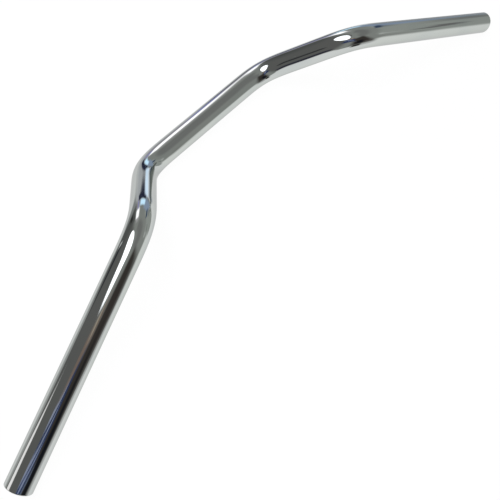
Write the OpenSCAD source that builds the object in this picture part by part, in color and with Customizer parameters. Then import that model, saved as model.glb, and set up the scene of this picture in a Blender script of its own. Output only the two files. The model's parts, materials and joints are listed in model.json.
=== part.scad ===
// Low-rise motorcycle handlebar: one length of round tube with four cold bends.
//
// The frame: the origin is the middle of the clamp section, on the tube's axis. +X runs along
// the clamp section to the rider's right, and +Z is up with the bar lying on a flat surface,
// where it touches with the underside of the clamp section and with both grip ends.
// The tube is described the way a tube bender makes it: straight, bend, straight, roll, bend,
// straight, from the middle outwards, and the left half mirrors the right half.

/* [Tube] */
// Outside diameter of the tube
tube_d = 22.2; // [20:0.1:28.6]
// Wall thickness of the tube
wall = 2; // [1.5:0.1:3]

/* [Bends] */
// Bend radius, measured on the centreline
bend_r = 40; // [36:1:60]
// Inner bend, from the clamp section up into the riser
riser_bend = 56; // [30:1:70]
// Roll of the tube between the inner bend and the outer bend
roll = 150; // [130:1:165]
// Outer bend, from the riser out into the grip section
grip_bend = 58; // [30:1:70]
// How much bending draws the tube down, on its radius
draw_down = 0.05; // [0.01:0.01:0.1]

/* [Straight lengths] */
// Clamp section, between the two inner bends
clamp_l = 122; // [80:1:200]
// Riser, between an inner bend and an outer bend
riser_l = 56; // [30:1:120]
// Grip section, from an outer bend to the end of the tube
grip_l = 192; // [140:1:220]

/* [Tube ends] */
// Radius of the rounded outer rim
rim_r = 0.8; // [0.3:0.1:1]
// Chamfer that deburrs the inner rim
deburr = 0.3; // [0.1:0.1:0.4]

/* [Hidden] */
$fn = 96;

outer_r = tube_d / 2;
bore_r = outer_r - wall;
// The bore is cut this far past each end face
overcut = 2;
// A straight runs this far into the bends beside it, and so laps over the drawn-down tube there
lap = sqrt(draw_down * (bend_r - outer_r));

// The right half's centreline with the clamp section's bend plane upright: unit directions,
// the corners where neighbouring straights would meet, and the centre of the end face
riser_dir = [cos(riser_bend), 0, sin(riser_bend)];
riser_normal = [-sin(riser_bend), 0, cos(riser_bend)];
outer_bend_normal = riser_normal * cos(roll) - [0, 1, 0] * sin(roll);
grip_dir = riser_dir * cos(grip_bend) + outer_bend_normal * sin(grip_bend);
inner_corner_l = bend_r * tan(riser_bend / 2);
outer_corner_l = bend_r * tan(grip_bend / 2);
inner_corner = [clamp_l / 2 + inner_corner_l, 0, 0];
outer_corner = inner_corner + riser_dir * (inner_corner_l + riser_l + outer_corner_l);
end_centre = outer_corner + grip_dir * (outer_corner_l + grip_l);

// The turn about X that lays the bar down. A first turn puts the end faces' centres level with
// the clamp section's axis. The end faces then lean, so their rims reach down a little less far
// than the clamp section does, and a second small turn lowers them by that gap.
level_turn = atan2(end_centre.z, -end_centre.y);
grip_fall = -(grip_dir.y * sin(level_turn) + grip_dir.z * cos(level_turn));
rim_gap = (outer_r - rim_r) * (1 - sqrt(1 - pow(grip_fall, 2))) + rim_r * grip_fall;
lay_turn = level_turn + asin(rim_gap / norm([end_centre.y, end_centre.z]));

// A straight length of round bar on the X axis
module straight(r, from, to) {
    translate([from, 0, 0])
        rotate([0, 90, 0])
            cylinder(r = r, h = to - from);
}

// A bend of round bar that starts at the origin along +X and curls up
module bend(r, angle) {
    translate([0, 0, bend_r])
        rotate([90, 90, 0])
            rotate_extrude(angle = angle)
                translate([bend_r, 0])
                    circle(r = r - draw_down);
}

// Moves its children to the end of such a bend
module past_bend(angle) {
    translate([0, 0, bend_r])
        rotate([0, -angle, 0])
            translate([0, 0, -bend_r])
                children();
}

// The right half as solid round bar of radius r, with its children past the outer bend
module right_half(r) {
    straight(r, 0, clamp_l / 2 + lap);
    translate([clamp_l / 2, 0, 0]) {
        bend(r, riser_bend);
        past_bend(riser_bend) {
            straight(r, -lap, riser_l + lap);
            translate([riser_l, 0, 0])
                rotate([roll, 0, 0]) {
                    bend(r, grip_bend);
                    past_bend(grip_bend)
                        children();
                }
        }
    }
}

// Outside of a grip section, with its rounded outer rim
module grip_outside() {
    translate([-lap, 0, 0])
        rotate([0, 90, 0])
            rotate_extrude() {
                square([outer_r, lap + grip_l - rim_r]);
                square([outer_r - rim_r, lap + grip_l]);
                translate([outer_r - rim_r, lap + grip_l - rim_r])
                    intersection() {
                        circle(r = rim_r);
                        square(rim_r);
                    }
            }
}

// Bore of a grip section, run out past the end face, with the chamfer on its rim
module grip_bore() {
    straight(bore_r, -lap, grip_l + overcut);
    translate([grip_l - deburr, 0, 0])
        rotate([0, 90, 0])
            cylinder(r1 = bore_r, r2 = bore_r + deburr + overcut, h = deburr + overcut);
}

// The tube, from grip end to grip end
module handlebar_tube() {
    color("gainsboro")
        rotate([lay_turn, 0, 0])
            difference() {
                for (side = [0, 1])
                    mirror([side, 0, 0])
                        right_half(outer_r)
                            grip_outside();
                for (side = [0, 1])
                    mirror([side, 0, 0])
                        right_half(bore_r)
                            grip_bore();
            }
}

handlebar_tube();
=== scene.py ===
"""A chromed motorcycle handlebar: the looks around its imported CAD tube.

Everything is in metres, in the row frame. The bar lies on a pale floor, with the middle of its
clamp section at the origin, +X along the clamp section and +Z up.
"""

import json
import math
from collections import namedtuple

import bpy
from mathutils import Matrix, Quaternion, Vector


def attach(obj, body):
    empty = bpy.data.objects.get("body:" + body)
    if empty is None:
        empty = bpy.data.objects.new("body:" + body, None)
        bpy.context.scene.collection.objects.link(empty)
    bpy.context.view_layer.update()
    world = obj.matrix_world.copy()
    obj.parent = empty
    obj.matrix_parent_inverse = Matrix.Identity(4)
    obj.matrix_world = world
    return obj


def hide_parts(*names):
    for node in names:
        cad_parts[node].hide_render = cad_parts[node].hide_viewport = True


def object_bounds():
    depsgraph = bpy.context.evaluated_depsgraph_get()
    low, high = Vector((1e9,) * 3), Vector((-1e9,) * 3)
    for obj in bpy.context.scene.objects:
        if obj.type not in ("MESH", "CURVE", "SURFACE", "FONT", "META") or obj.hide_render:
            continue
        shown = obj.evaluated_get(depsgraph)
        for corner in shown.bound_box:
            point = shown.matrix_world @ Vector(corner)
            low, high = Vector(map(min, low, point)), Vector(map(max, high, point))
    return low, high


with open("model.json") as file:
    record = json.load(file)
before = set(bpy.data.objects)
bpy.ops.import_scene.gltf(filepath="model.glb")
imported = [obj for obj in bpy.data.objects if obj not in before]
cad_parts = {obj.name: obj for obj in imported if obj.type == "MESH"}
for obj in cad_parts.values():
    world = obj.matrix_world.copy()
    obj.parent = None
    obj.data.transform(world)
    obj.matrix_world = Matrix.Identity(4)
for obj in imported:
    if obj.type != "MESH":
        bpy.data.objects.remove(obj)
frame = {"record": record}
cad_low, cad_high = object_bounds()

# ---------------------------------------------------------------- sizes

MM = 0.001
UP = Vector((0, 0, 1))
BEND_RADIUS = 40 * MM
# The length over which a cold bend's curve comes in at one end and dies out at the other
EASE = 30 * MM
RIM_RADIUS = 0.8 * MM
DEBURR = 0.3 * MM

# The mesh: vertices around the tube, the longest steps along it, and how far before the rounded rim
# the last ring but one lies, so that the shading stays true right up to the rim
AROUND = 128
STRAIGHT_STEP = 6 * MM
BEND_STEP = 1.1 * MM
HOLD = 0.3 * MM
# Steps round the rounded rim
RIM_STEPS = 8
# Edges that are sharper than this angle are shaded sharp
SHARP_ANGLE = math.radians(30)

# How finely a bend's path is summed up, and the rounds that settle the riser's direction
SWEEP_STEPS = 64
RISER_ROUNDS = 30


def mount(name):
    """The record's mount of that name: its centre, its unit axis, its radius and its length."""
    found = next(m for m in frame["record"]["mounts"] if m["name"] == name)
    dims = found["dims"]
    centre, axis = Vector(found["pos_m"]), Vector(found["axis"]).normalized()
    return centre, axis, dims["r_mm"] * MM, dims["length_mm"] * MM


clamp_centre, clamp_axis, outer_radius, clamp_length = mount("clamp_seat")
grip_centre, grip_axis, _, grip_seat_length = mount("right_grip_seat")
_, _, bore_radius, _ = mount("right_bar_end_bore")

# ---------------------------------------------------------------- centreline


class Straight:
    """A straight stretch of the centreline."""

    step = STRAIGHT_STEP
    turn = Quaternion()

    def __init__(self, start, end):
        self.start = start
        self.end = end
        self.length = (end - start).length

    def at(self, along):
        """The point that far along the stretch, and the turn of the centreline up to there."""
        return self.start.lerp(self.end, along / self.length), self.turn


class Bend:
    """A bend about a corner, whose curve comes in and dies out evenly over EASE at each end.

    It passes the corner at very nearly the distance of the circular bend of BEND_RADIUS.
    """

    step = BEND_STEP

    def __init__(self, corner, direction, towards):
        self.angle = direction.angle(towards)
        half_cosine = math.cos(self.angle / 2)
        inward_shift = EASE**2 / (24 * BEND_RADIUS)
        self.radius = BEND_RADIUS - inward_shift / (1 - half_cosine)
        self.length = self.radius * self.angle + EASE
        self.direction = direction
        self.hinge = direction.cross(towards).normalized()
        self.inward = self.hinge.cross(direction)
        self.turn = Quaternion(self.hinge, self.angle)
        self.reach = self.sweep(self.length)[1] / math.sin(self.angle)
        self.start = corner - direction * self.reach
        self.end = corner + towards * self.reach

    def turned(self, along):
        """The angle that the centreline has turned through, that far along the bend."""
        left = self.length - along
        if along < EASE:
            return along**2 / (2 * self.radius * EASE)
        if left < EASE:
            return self.angle - left**2 / (2 * self.radius * EASE)
        return (along - EASE / 2) / self.radius

    def sweep(self, along):
        """How far that stretch of the bend goes forwards, and how far inwards."""
        step = along / SWEEP_STEPS
        angles = [self.turned(step * (i + 0.5)) for i in range(SWEEP_STEPS)]
        return step * sum(map(math.cos, angles)), step * sum(map(math.sin, angles))

    def at(self, along):
        """The point that far along the bend, and the turn of the centreline up to there."""
        forwards, inwards = self.sweep(along)
        point = self.start + self.direction * forwards + self.inward * inwards
        return point, Quaternion(self.hinge, self.turned(along))


def tangent_length(one, other):
    """How far a circular bend between two directions reaches along each of its straights."""
    return BEND_RADIUS * math.tan(one.angle(other) / 2)


def right_half_stretches():
    """The centreline from the middle of the clamp section to the end of the right grip seat.

    The mounts give the clamp section and the grip section. The riser joins the corners where they
    would meet it, and each corner moves a little as the riser turns, so a few rounds settle it.
    """
    clamp_end = clamp_centre + clamp_axis * clamp_length / 2
    grip_start = grip_centre - grip_axis * grip_seat_length / 2
    grip_end = grip_centre + grip_axis * grip_seat_length / 2
    riser_axis = (grip_start - clamp_end).normalized()
    for _ in range(RISER_ROUNDS):
        inner_corner = clamp_end + clamp_axis * tangent_length(clamp_axis, riser_axis)
        outer_corner = grip_start - grip_axis * tangent_length(riser_axis, grip_axis)
        riser_axis = (outer_corner - inner_corner).normalized()
    inner = Bend(inner_corner, clamp_axis, riser_axis)
    outer = Bend(outer_corner, riser_axis, grip_axis)
    return [
        Straight(clamp_centre, inner.start),
        inner,
        Straight(inner.end, outer.start),
        outer,
        Straight(outer.end, grip_end),
    ]


def steps_along(stretch):
    """Evenly spaced distances along a stretch, from its first step to its end."""
    count = math.ceil(stretch.length / stretch.step)
    return [stretch.length * i / count for i in range(1, count + 1)]


def stations():
    """(distance from the middle, point, turn) along the right half of the centreline."""
    found = [(0.0, clamp_centre, Quaternion())]
    turned = Quaternion()
    passed = 0.0
    for stretch in right_half_stretches():
        for along in steps_along(stretch):
            point, turn = stretch.at(along)
            found.append((passed + along, point, turn @ turned))
        passed += stretch.length
        turned = stretch.turn @ turned
    return found


# ---------------------------------------------------------------- tube mesh

# One ring of the tube: how far it is from the middle, where, how it is turned, its radius, and how
# deep it is inside the bore
Ring = namedtuple("Ring", "along point turn radius depth", defaults=[0.0])

# The names of the vertex attributes that the material reads
PLACE = "straightened"
BORE_DEPTH = "bore_depth"


def right_half_rings():
    """The rings along the outside, round the rim and back through the bore."""
    line = stations()
    seat_end, end_point, end_turn = line[-1]
    direction = end_turn @ clamp_axis
    rings = [Ring(*station, outer_radius) for station in line]

    def beyond(reach, radius, depth=0.0):
        return Ring(seat_end + reach, end_point + direction * reach, end_turn, radius, depth)

    rings.insert(-1, beyond(-HOLD, outer_radius))
    for i in range(1, RIM_STEPS + 1):
        angle = math.pi / 2 * i / RIM_STEPS
        inset = RIM_RADIUS * (1 - math.cos(angle))
        rings.append(beyond(RIM_RADIUS * math.sin(angle), outer_radius - inset))
    rings.append(beyond(RIM_RADIUS, bore_radius + DEBURR))
    rings.append(beyond(RIM_RADIUS - DEBURR, bore_radius, DEBURR))
    for along, point, turn in reversed(line):
        depth = seat_end + RIM_RADIUS - along
        rings.append(Ring(along, point, turn, bore_radius, depth))
    return rings


def ring_faces(count):
    """The faces that join each ring to the next, and the last ring to the first."""
    faces = []
    for i in range(count):
        here = i * AROUND
        there = (i + 1) % count * AROUND
        for j in range(AROUND):
            k = (j + 1) % AROUND
            faces.append((here + j, here + k, there + k, there + j))
    return faces


def tube_mesh():
    """One closed mesh: the right half's rings, then the left half's, which mirror them.

    Each vertex keeps the place it would have on a straightened tube, for the material's grain,
    and its depth inside the bore.
    """
    right = right_half_rings()
    sided = [(ring, 1) for ring in right] + [(ring, -1) for ring in reversed(right[1:-1])]
    spokes = [Quaternion(clamp_axis, math.tau * i / AROUND) @ UP for i in range(AROUND)]
    points = []
    straightened = []
    depths = []
    for ring, side in sided:
        for spoke in spokes:
            point = ring.point + ring.turn @ spoke * ring.radius
            points.append((side * point.x, point.y, point.z))
            straightened += (side * ring.along, spoke.y * ring.radius, spoke.z * ring.radius)
            depths.append(ring.depth)
    mesh = bpy.data.meshes.new("handlebar")
    mesh.from_pydata(points, [], ring_faces(len(sided)))
    places = mesh.attributes.new(PLACE, "FLOAT_VECTOR", "POINT")
    places.data.foreach_set("vector", straightened)
    bore_depths = mesh.attributes.new(BORE_DEPTH, "FLOAT", "POINT")
    bore_depths.data.foreach_set("value", depths)
    mesh.shade_smooth()
    mesh.set_sharp_from_angle(angle=SHARP_ANGLE)
    return mesh


# ---------------------------------------------------------------- shader trees


def rgb(red, green, blue):
    """An opaque colour, in linear light."""
    return (red, green, blue, 1.0)


class Tree:
    """Adds and links nodes in one shader tree."""

    def __init__(self, owner):
        owner.use_nodes = True
        self.nodes = owner.node_tree.nodes
        self.links = owner.node_tree.links
        self.nodes.clear()

    def add(self, kind, inputs=None, **settings):
        """A new node. An input is a value or another node's output."""
        node = self.nodes.new("ShaderNode" + kind)
        for key, value in settings.items():
            setattr(node, key, value)
        for key, value in (inputs or {}).items():
            if isinstance(value, bpy.types.NodeSocket):
                self.links.new(value, node.inputs[key])
            else:
                node.inputs[key].default_value = value
        return node

    def math(self, operation, *values):
        """The result of one math operation on values or other nodes' outputs."""
        return self.add("Math", dict(enumerate(values)), operation=operation).outputs[0]

    def fade(self, value, start, end, low=0.0, high=1.0):
        """low up to start and high from end on, with a smooth change between them."""
        inputs = {
            "Value": value,
            "From Min": start,
            "From Max": end,
            "To Min": low,
            "To Max": high,
        }
        return self.add("MapRange", inputs, interpolation_type="SMOOTHSTEP").outputs[0]

    def mix(self, share, one, other):
        """The colour one where share is 0 and the colour other where it is 1."""
        colours = {0: share, 6: one, 7: other}
        return self.add("Mix", colours, data_type="RGBA").outputs[2]

    def grain(self, place, along, across, detail):
        """Noise with blotches of about that size along the tube and across it."""
        scale = (1 / along, 1 / across, 1 / across)
        scaled = self.add("VectorMath", {0: place, 1: scale}, operation="MULTIPLY").outputs[0]
        inputs = {"Vector": scaled, "Scale": 1.0, "Detail": detail}
        return self.add("TexNoise", inputs).outputs["Fac"]

    def total(self, layers, weights):
        """The sum of the layers that have a weight, each times its weight."""
        found = 0.0
        for name, weight in weights.items():
            found = self.math("MULTIPLY_ADD", layers[name], weight, found)
        return found

    def lead_out(self, surface, output="OutputMaterial"):
        """Leads a shader to the tree's output."""
        end = self.add(output)
        self.links.new(surface, end.inputs["Surface"])


# ---------------------------------------------------------------- material

MICRON = 0.001 * MM
PLATE = rgb(0.575, 0.600, 0.585)
PLATE_HAZE = rgb(0.545, 0.575, 0.565)
NICKEL = rgb(0.50, 0.47, 0.41)
BARE_STEEL = rgb(0.52, 0.50, 0.48)
DARK_STEEL = rgb(0.34, 0.32, 0.30)
RUST = rgb(0.24, 0.11, 0.05)
# Chromium mirrors less at a grazing angle than most metals do
EDGE_TINT = 0.7
# On average, the plating reaches fully this far into the bore, and is gone at the second depth
THROWN = 8 * MM
BARE = 24 * MM
SEAM_WIDTH = 1.2 * MM

# Noise patterns: the size of the blotches along the tube and across it, and the detail
GRAINS = {
    "waves": (70 * MM, 9 * MM, 2.0),
    "peel": (4 * MM, 3 * MM, 2.0),
    "polish": (0.3 * MM, 25 * MM, 3.0),
    "haze": (40 * MM, 14 * MM, 5.0),
    "hairlines": (16 * MM, 0.25 * MM, 2.0),
    "drawn": (80 * MM, 0.5 * MM, 4.0),
    "specks": (5 * MM, 2.5 * MM, 8.0),
}
# The noise values between which a pattern fades in
HAZE_FADE = (0.4, 0.7)
HAIRLINE_FADE = (0.68, 0.76)
RUST_FADE = (0.55, 0.68)
WORN_FADE = (0.5, 0.6)
STEEL_FADE = (0.3, 0.7)

# What each layer adds to the roughness
ROUGHNESS = {
    "haze": 0.03,
    "polish": 0.015,
    "hairlines": 0.08,
    "worn": 0.15,
    "bare": 0.36,
    "rust": 0.3,
    "all": 0.03,
}
# What each layer adds to the metallic share
METAL = {"bare": -0.35, "rust": -0.6, "all": 1.0}
# How high each layer stands
RELIEF = {
    "waves": 100 * MICRON,
    "peel": 5 * MICRON,
    "polish": 0.5 * MICRON,
    "hairlines": -2.5 * MICRON,
    "worn": -8 * MICRON,
    "bare drawn": 60 * MICRON,
    "seam": 250 * MICRON,
}


def weld_seam(tree, parts, depth):
    """The seam inside the bore, along the side of the tube that is up at the clamp section."""
    upper = tree.math("GREATER_THAN", parts["Z"], 0.0)
    near = tree.fade(tree.math("ABSOLUTE", parts["Y"]), 0.0, SEAM_WIDTH, 1.0, 0.0)
    inside = tree.math("GREATER_THAN", depth, DEBURR)
    return tree.math("MULTIPLY", tree.math("MULTIPLY", near, upper), inside)


def worn_rim(tree, parts, specks):
    """Thin plating, in specks on the rounded rim at both ends of the tube."""
    seat_end = stations()[-1][0]
    rim = tree.fade(tree.math("ABSOLUTE", parts["X"]), seat_end, seat_end + RIM_RADIUS)
    return tree.math("MULTIPLY", rim, tree.fade(specks, *WORN_FADE))


def bare_bore(tree, depth, specks):
    """The part of the bore that the plating doesn't reach, with a ragged edge."""
    spread = BARE - THROWN
    sources = {"specks": specks, "depth": depth, "all": 1.0}
    ragged = tree.total(sources, {"specks": 2 * spread, "depth": 1.0, "all": -spread})
    return tree.fade(ragged, THROWN, BARE)


def surface_layers(tree):
    """Every layer of the surface by name: plain noise, or a share that is 1 where it is full."""
    place = tree.add("Attribute", attribute_name=PLACE).outputs["Vector"]
    depth = tree.add("Attribute", attribute_name=BORE_DEPTH).outputs["Fac"]
    parts = tree.add("SeparateXYZ", {0: place}).outputs
    layers = {name: tree.grain(place, *sizes) for name, sizes in GRAINS.items()}
    specks = layers["specks"]
    layers["haze"] = tree.fade(layers["haze"], *HAZE_FADE)
    layers["hairlines"] = tree.fade(layers["hairlines"], *HAIRLINE_FADE)
    layers["bare"] = bare_bore(tree, depth, specks)
    layers["bare drawn"] = tree.math("MULTIPLY", layers["bare"], layers["drawn"])
    layers["rust"] = tree.math("MULTIPLY", layers["bare"], tree.fade(specks, *RUST_FADE))
    layers["worn"] = worn_rim(tree, parts, specks)
    layers["seam"] = weld_seam(tree, parts, depth)
    layers["all"] = 1.0
    return layers


def surface_colour(tree, layers):
    """Chrome with haze and worn specks outside, and steel with drawing lines and rust inside."""
    plated = tree.mix(layers["haze"], PLATE, PLATE_HAZE)
    plated = tree.mix(layers["worn"], plated, NICKEL)
    steel = tree.mix(tree.fade(layers["drawn"], *STEEL_FADE), DARK_STEEL, BARE_STEEL)
    return tree.mix(layers["rust"], tree.mix(layers["bare"], plated, steel), RUST)


def chrome_plate():
    """Bright chrome outside and a little way into the bore, and dull drawn steel beyond.

    Outside there are the slow waves of a ground tube, fine polishing rings, hairlines and patches
    of haze, and the plating is thin at the rim. Inside there are drawing lines, a weld seam and
    specks of rust.
    """
    material = bpy.data.materials.new("chrome_plated_steel")
    tree = Tree(material)
    layers = surface_layers(tree)
    height = tree.total(layers, RELIEF)
    bump = tree.add("Bump", {"Strength": 1.0, "Distance": 1.0, "Height": height})
    inputs = {
        "Base Color": surface_colour(tree, layers),
        "Metallic": tree.total(layers, METAL),
        "Roughness": tree.total(layers, ROUGHNESS),
        "Specular Tint": rgb(EDGE_TINT, EDGE_TINT, EDGE_TINT),
        "Normal": bump.outputs[0],
    }
    tree.lead_out(tree.add("BsdfPrincipled", inputs).outputs[0])
    return material


# ---------------------------------------------------------------- handlebar


def build_handlebar():
    """The plated tube as one object."""
    mesh = tube_mesh()
    mesh.materials.append(chrome_plate())
    piece = bpy.data.objects.new("handlebar", mesh)
    bpy.context.scene.collection.objects.link(piece)
    return piece


handlebar = build_handlebar()
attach(handlebar, "root")
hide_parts("handlebar_tube")

# ---------------------------------------------------------------- floor, room and lamp

PALE = rgb(1.0, 1.0, 1.0)
FLOOR_HALF = 4.0
FLOOR_PAPER = rgb(0.12, 0.12, 0.12)
FLOOR_GLOW = 0.95

# The lamp is an oval on a level rectangle, and fades out from this share of the way to its edge
LAMP_HALF_WIDTH = 0.467
LAMP_HALF_LENGTH = 0.87
LAMP_CENTRE = (-0.405, 0.259, 1.65)
LAMP_TURN = math.radians(-13.4)
LAMP_FADE_START = 0.84
LAMP_COLOUR = rgb(1, 1, 1.04)
LAMP_STRENGTH = 2.6

# What the chrome mirrors. Azimuth 0 is +Y and 90 is +X, and elevation is above the horizon, both in
# degrees. Each patch has a soft edge, and the later ones lie over the earlier ones. A patch that
# leans rises by that many degrees for each degree of azimuth.
FIELDS = "azimuth elevation half_width half_height soft colour lean"
Patch = namedtuple("Patch", FIELDS, defaults=[0])
WALLS = rgb(0.32, 0.33, 0.315)
ROOM = {
    "ceiling": Patch(110, 60, 60, 13, 9, rgb(0.235, 0.236, 0.232)),
    "bright wall": Patch(105, 10, 33, 18, 6, rgb(0.40, 0.42, 0.40)),
    "gleam": Patch(134, 20, 5, 3, 2, rgb(0.56, 0.57, 0.56)),
    "left wall": Patch(-60, 45, 70, 60, 12, rgb(0.152, 0.15, 0.147)),
    "dark wall": Patch(-176, 26, 22, 27, 8, rgb(0.055, 0.047, 0.043)),
    "corner": Patch(-172, 15, 9, 13, 7, rgb(0.012, 0.013, 0.018)),
    "skirting": Patch(170, 2, 9, 7, 4, rgb(0.12, 0.113, 0.108)),
    "front": Patch(-3, 10, 22, 24, 8, rgb(0.12, 0.122, 0.12)),
    "post": Patch(-25, 15, 4.5, 6, 3, rgb(0.035, 0.035, 0.045)),
    "dark post": Patch(3, 12, 4, 9, 3, rgb(0.04, 0.04, 0.038)),
    "spotlight": Patch(-18.5, 10, 1.3, 5, 1, rgb(0.8, 0.8, 0.8)),
    "pale skirting": Patch(-35, 0, 10, 5, 3, rgb(0.45, 0.45, 0.45)),
    "rail": Patch(-83, 28, 10, 3, 2.5, rgb(0.04, 0.04, 0.045)),
    "blue wall": Patch(-140, 45, 19, 11, 3.5, rgb(0.036, 0.055, 0.14)),
    "brown": Patch(-141, 59, 22, 4, 3, rgb(0.255, 0.188, 0.158), 0.15),
    "slat 1": Patch(-159, 30.5, 5, 1.5, 1, rgb(0.16, 0.2, 0.3), 0.7),
    "slat 2": Patch(-145, 42.8, 10, 1.2, 0.8, rgb(0.32, 0.37, 0.55), 0.3),
    "slat 3": Patch(-135, 49.2, 17, 1.3, 0.9, rgb(0.36, 0.4, 0.56), 0.13),
    "slat 4": Patch(-132, 54.8, 13, 1.1, 0.8, rgb(0.38, 0.41, 0.55), 0.1),
    "tan": Patch(-147, 61, 6, 2.2, 1.5, rgb(0.47, 0.405, 0.325), 0.3),
    "low navy": Patch(-110, 3.5, 13, 5.5, 3, rgb(0.04, 0.038, 0.06)),
    "left window": Patch(-55.5, 18, 11, 8.5, 2.5, rgb(1.3, 1.24, 1.25)),
    "window glow": Patch(28, 12, 6, 7, 4, rgb(0.75, 0.72, 0.8)),
    "window halo": Patch(31, 41, 9, 8, 5, rgb(0.52, 0.5, 0.51)),
    "window": Patch(27.5, 27, 7, 11, 4, rgb(2.0, 1.95, 2.0)),
    "sill": Patch(26.5, -1, 5.5, 12, 3, rgb(0.42, 0.38, 0.44)),
    "blue sill": Patch(27.3, -1, 2, 16, 1.2, rgb(0.38, 0.39, 0.72)),
    "haze": Patch(68, 7, 14, 12, 5, rgb(0.35, 0.43, 0.58)),
    "sky": Patch(46, 5, 10.5, 6, 3.5, rgb(1.0, 1.4, 1.75)),
    "blotch": Patch(83.5, 20, 8, 5, 3, rgb(0.06, 0.09, 0.155), 0.8),
    "dark sill": Patch(89, 9, 7, 3.5, 3, rgb(0.27, 0.28, 0.28), 0.7),
    "beam": Patch(122, 16.2, 8, 1.4, 1, rgb(0.2, 0.2, 0.2), -0.2),
    "floor": Patch(0, -50, 200, 40.2, 0.7, rgb(1.0, 1.0, 1.0)),
    "pale edge": Patch(146, -43.5, 13, 45, 7, rgb(0.98, 0.99, 0.97)),
    "far pale edge": Patch(-118, -47.5, 17, 42.5, 3, rgb(1.0, 1.0, 1.0)),
    "dim back": Patch(178, -12, 16, 7, 6, rgb(0.6, 0.6, 0.6)),
    "dim left": Patch(-32, -12, 20, 6, 6, rgb(0.6, 0.61, 0.6)),
    "dim floor": Patch(6, -12, 13, 10, 6, rgb(0.34, 0.35, 0.35)),
    "dim beyond": Patch(36, -12, 17, 8, 6, rgb(0.62, 0.63, 0.66)),
    "dim right": Patch(73, -18, 8, 6, 4, rgb(0.36, 0.4, 0.47)),
    "dark foot": Patch(-168, -11, 8, 8, 3, rgb(0.03, 0.03, 0.03)),
    "skyline": Patch(41.5, -6.2, 14.5, 4, 1.2, rgb(0.03, 0.035, 0.07)),
    "sheen": Patch(56.5, -12, 6.5, 3.5, 3, rgb(1.1, 1.32, 1.6)),
}


def soft_patch(tree, azimuth, elevation, patch):
    """1 inside the patch and 0 outside it, with a soft edge."""
    aside = tree.math("WRAP", tree.math("SUBTRACT", azimuth, patch.azimuth), 180, -180)
    above = tree.math("SUBTRACT", elevation, patch.elevation)
    if patch.lean:
        above = tree.math("SUBTRACT", above, tree.math("MULTIPLY", aside, patch.lean))
    shares = []
    for distance, half in ((aside, patch.half_width), (above, patch.half_height)):
        away = tree.math("ABSOLUTE", distance)
        shares.append(tree.fade(away, half - patch.soft, half + patch.soft, 1.0, 0.0))
    return tree.math("MULTIPLY", *shares)


def build_room():
    """The world: a plain pale backdrop for the camera, and the room for what the chrome mirrors."""
    world = bpy.data.worlds.new("room")
    bpy.context.scene.world = world
    tree = Tree(world)
    direction = tree.add("TexCoord").outputs["Generated"]
    parts = tree.add("SeparateXYZ", {0: direction}).outputs
    azimuth = tree.math("DEGREES", tree.math("ARCTAN2", parts["X"], parts["Y"]))
    elevation = tree.math("DEGREES", tree.math("ARCSINE", parts["Z"]))
    mirrored = WALLS
    for patch in ROOM.values():
        share = soft_patch(tree, azimuth, elevation, patch)
        mirrored = tree.mix(share, mirrored, patch.colour)
    seen = tree.add("LightPath").outputs["Is Camera Ray"]
    background = tree.add("Background", {"Color": tree.mix(seen, mirrored, PALE)})
    tree.lead_out(background.outputs[0], "OutputWorld")


def level_rectangle(name, half_width, half_length, centre):
    """A level rectangle of the stage."""
    corners = [(-1, -1), (1, -1), (1, 1), (-1, 1)]
    points = [(x * half_width, y * half_length, 0) for x, y in corners]
    flat = bpy.data.meshes.new(name)
    flat.from_pydata(points, [], [(0, 1, 2, 3)])
    made = bpy.data.objects.new(name, flat)
    made.location = centre
    bpy.context.scene.collection.objects.link(made)
    return made


def build_floor():
    """A pale floor that glows, so that hardly any shadow shows on it.

    The chrome doesn't mirror it: the room has a floor of its own for that.
    """
    floor = level_rectangle("floor", FLOOR_HALF, FLOOR_HALF, (0, 0, cad_low.z))
    floor.visible_glossy = False
    material = bpy.data.materials.new("pale_floor")
    tree = Tree(material)
    paper = tree.add("BsdfDiffuse", {"Color": FLOOR_PAPER})
    glow = tree.add("Emission", {"Color": PALE, "Strength": FLOOR_GLOW})
    tree.lead_out(tree.add("AddShader", {0: paper.outputs[0], 1: glow.outputs[0]}).outputs[0])
    floor.data.materials.append(material)


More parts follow.
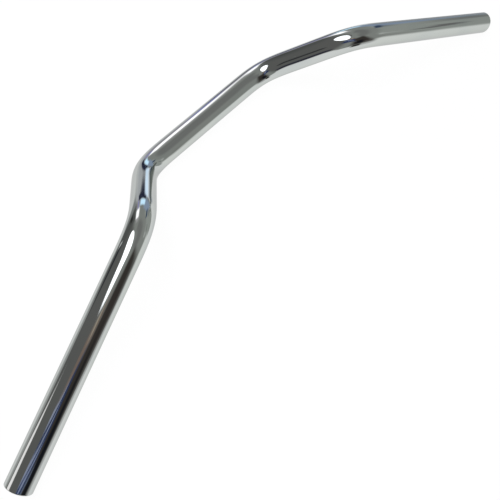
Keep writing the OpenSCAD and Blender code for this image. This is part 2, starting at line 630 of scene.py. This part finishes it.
def build_lamp():
    """The soft oval overhead lamp, which fades out at its edge."""
    lamp = level_rectangle("lamp", LAMP_HALF_WIDTH, LAMP_HALF_LENGTH, LAMP_CENTRE)
    lamp.rotation_euler.z = LAMP_TURN
    lamp.visible_camera = False
    material = bpy.data.materials.new("lamp_glow")
    tree = Tree(material)
    place = tree.add("TexCoord").outputs["Object"]
    shrink = (1 / LAMP_HALF_WIDTH, 1 / LAMP_HALF_LENGTH, 0)
    oval = tree.add("VectorMath", {0: place, 1: shrink}, operation="MULTIPLY").outputs[0]
    away = tree.add("VectorMath", {0: oval}, operation="LENGTH").outputs["Value"]
    share = tree.fade(away, LAMP_FADE_START, 1.0, 1.0, 0.0)
    glow = tree.add("Emission", {"Color": LAMP_COLOUR, "Strength": LAMP_STRENGTH})
    clear = tree.add("BsdfTransparent")
    shaders = {0: share, 1: clear.outputs[0], 2: glow.outputs[0]}
    tree.lead_out(tree.add("MixShader", shaders).outputs[0])
    lamp.data.materials.append(material)


build_room()
build_floor()
build_lamp()

# ---------------------------------------------------------------- camera

# Where the camera looks, from how far, and from where: azimuth 0 is from -Y and 90 is from +X
TARGET = Vector((-72, -123.3, 0)) * MM
DISTANCE = 485.6 * MM
AZIMUTH = math.radians(-69.43)
ELEVATION = math.radians(67.97)
ROLL = math.radians(22.97)
CLIP_START = 10 * MM
# These two are in millimetres, as Blender takes them
SENSOR_WIDTH = 36.0
LENS = 38.81


def build_camera():
    """The camera looks steeply down across the bar from its left, with the frame turned a little."""
    level = math.cos(ELEVATION)
    back = Vector((math.sin(AZIMUTH) * level, -math.cos(AZIMUTH) * level, math.sin(ELEVATION)))
    data = bpy.data.cameras.new("camera")
    data.sensor_width = SENSOR_WIDTH
    data.lens = LENS
    data.clip_start = CLIP_START
    camera = bpy.data.objects.new("camera", data)
    bpy.context.scene.collection.objects.link(camera)
    camera.rotation_mode = "QUATERNION"
    camera.location = TARGET + back * DISTANCE
    camera.rotation_quaternion = Quaternion(back, ROLL) @ (-back).to_track_quat("-Z", "Y")
    bpy.context.scene.camera = camera
    bpy.context.view_layer.update()


build_camera()
bpy.context.scene.view_settings.view_transform = "Standard"
